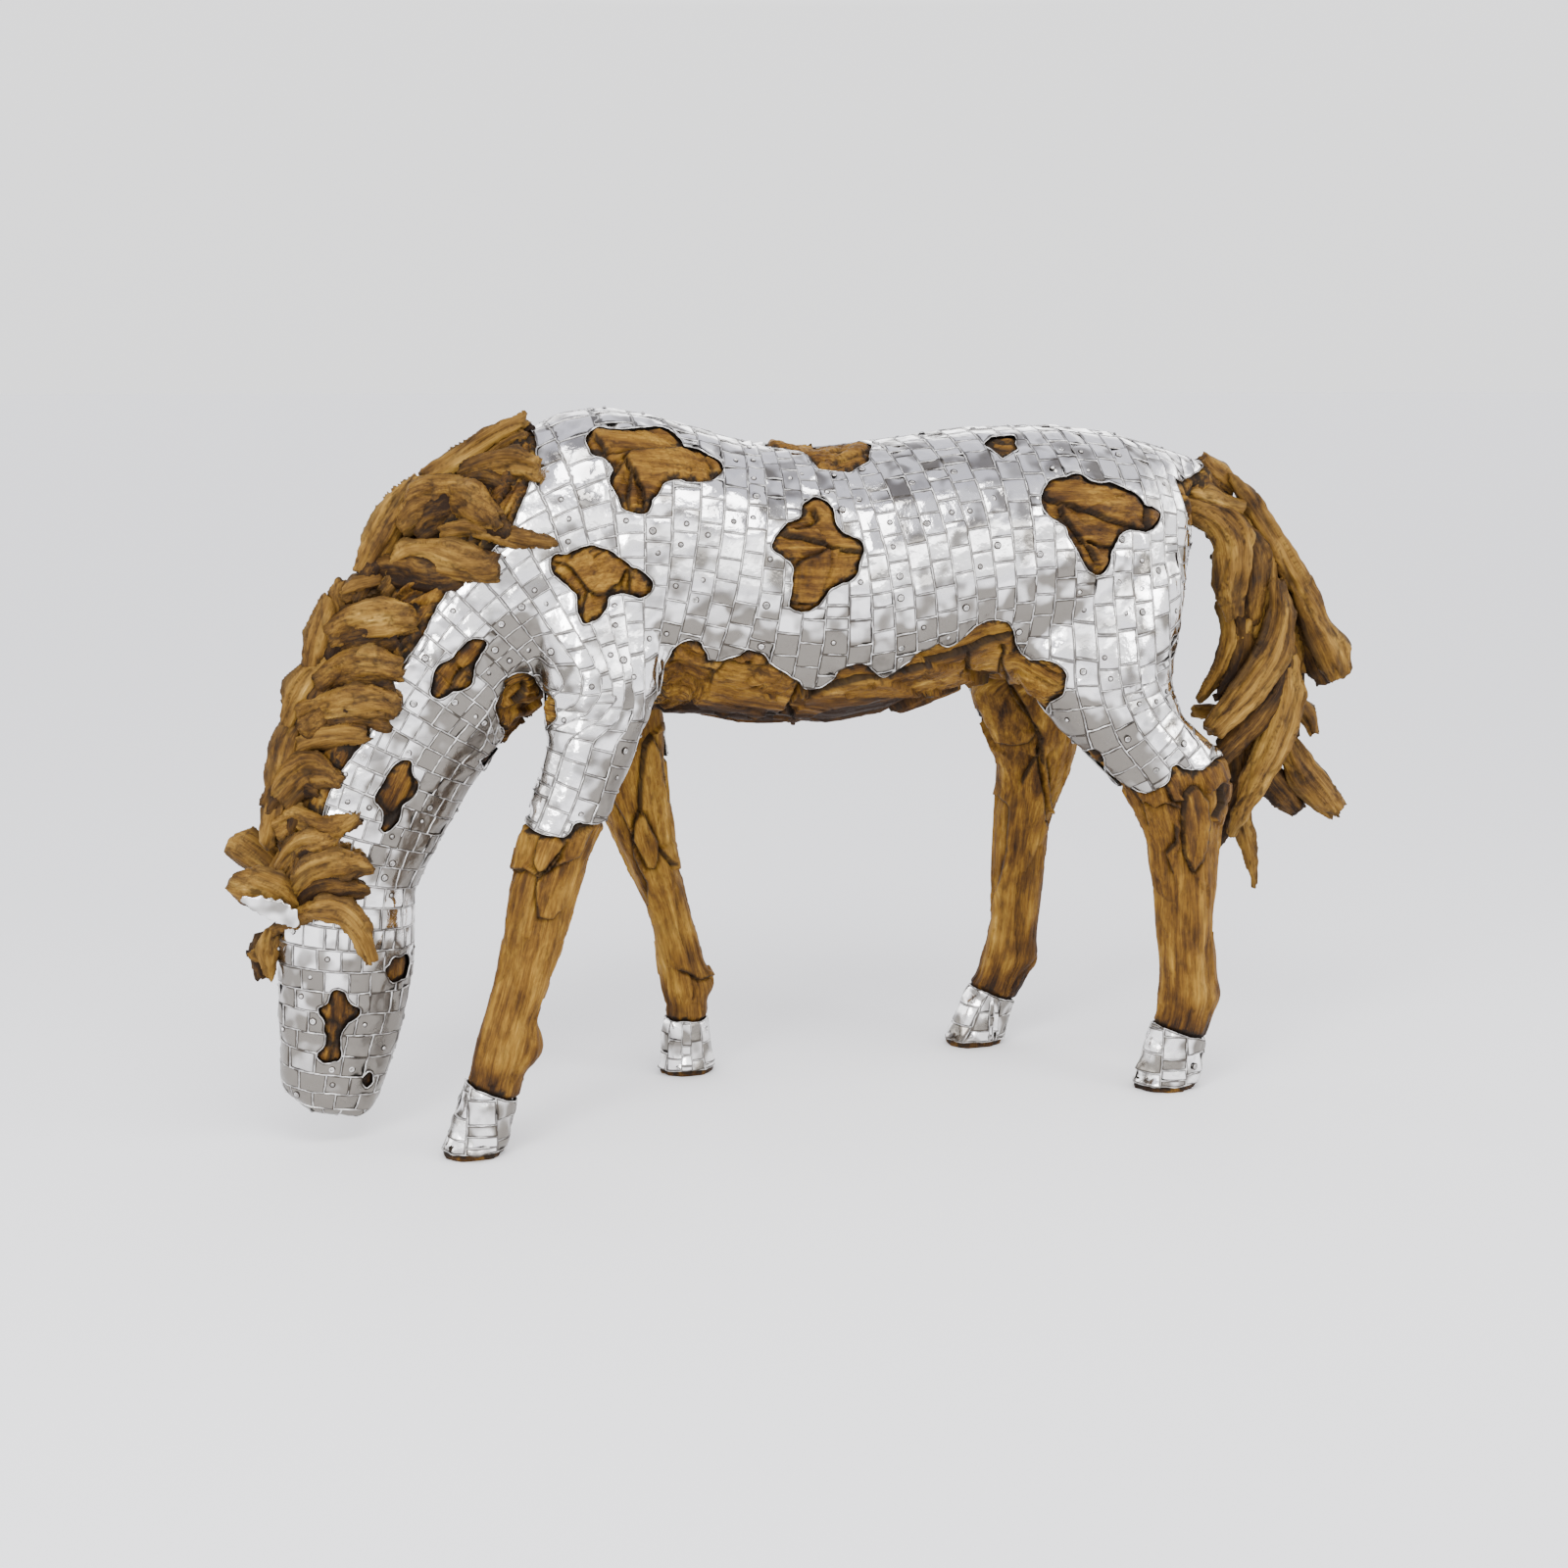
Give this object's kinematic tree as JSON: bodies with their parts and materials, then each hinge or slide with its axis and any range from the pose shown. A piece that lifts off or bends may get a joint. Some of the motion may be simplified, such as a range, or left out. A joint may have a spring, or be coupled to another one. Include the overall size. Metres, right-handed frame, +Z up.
{
  "type": "grazing horse sculpture",
  "caption": "Life-size grazing horse carved from teak root, clad in welded stainless plates with openings that show the wood, with wooden mane, ears and tail.",
  "frame": {"origin": "centre of the bounding box in plan, on the plane of the four soles", "axes": "+Z up; the horse faces -X with its head down; its left side, the near side in the picture, is at -Y"},
  "size_m": [2.5698, 0.5796, 1.5197],
  "materials": {
    "stainless_steel": "polished plates with weld beads",
    "teak_root": "oiled, with burnt dark rims",
    "teak_driftwood": "oiled, coarse grain"
  },
  "bodies": {
    "root": {"wood_figure": "teak_root", "steel_coat": "stainless_steel", "hoof_cap_front_left": "stainless_steel", "hoof_cap_front_right": "stainless_steel", "hoof_cap_hind_right": "stainless_steel", "hoof_cap_hind_left": "stainless_steel", "ear_plate_left": "stainless_steel", "ear_left": "teak_driftwood", "ear_right": "teak_driftwood", "mane_lock_01": "teak_driftwood", "mane_lock_02": "teak_driftwood", "mane_lock_03": "teak_driftwood", "mane_lock_04": "teak_driftwood", "mane_lock_05": "teak_driftwood", "mane_lock_06": "teak_driftwood", "mane_lock_07": "teak_driftwood", "mane_lock_08": "teak_driftwood", "mane_lock_09": "teak_driftwood", "mane_lock_10": "teak_driftwood", "mane_lock_11": "teak_driftwood", "mane_lock_12": "teak_driftwood", "mane_lock_13": "teak_driftwood", "mane_lock_14": "teak_driftwood", "mane_lock_15": "teak_driftwood", "mane_lock_16": "teak_driftwood", "mane_lock_17": "teak_driftwood", "mane_lock_18": "teak_driftwood", "mane_lock_19": "teak_driftwood", "mane_lock_20": "teak_driftwood", "mane_lock_21": "teak_driftwood", "mane_lock_22": "teak_driftwood", "mane_lock_23": "teak_driftwood", "mane_lock_24": "teak_driftwood", "mane_lock_25": "teak_driftwood", "mane_lock_03_far": "teak_driftwood", "mane_lock_05_far": "teak_driftwood", "mane_lock_07_far": "teak_driftwood", "mane_lock_10_far": "teak_driftwood", "mane_lock_12_far": "teak_driftwood", "tail_strand_01": "teak_driftwood", "tail_strand_02": "teak_driftwood", "tail_strand_03": "teak_driftwood", "tail_strand_04": "teak_driftwood", "tail_strand_05": "teak_driftwood", "tail_strand_06": "teak_driftwood", "tail_strand_07": "teak_driftwood", "tail_strand_08": "teak_driftwood", "tail_strand_09": "teak_driftwood", "tail_strand_10": "teak_driftwood", "tail_strand_11": "teak_driftwood", "tail_strand_12": "teak_driftwood", "tail_strand_13": "teak_driftwood", "tail_strand_14": "teak_driftwood", "tail_strand_15": "teak_driftwood", "tail_strand_16": "teak_driftwood", "tail_strand_17": "teak_driftwood"}
  },
  "joints": []
}
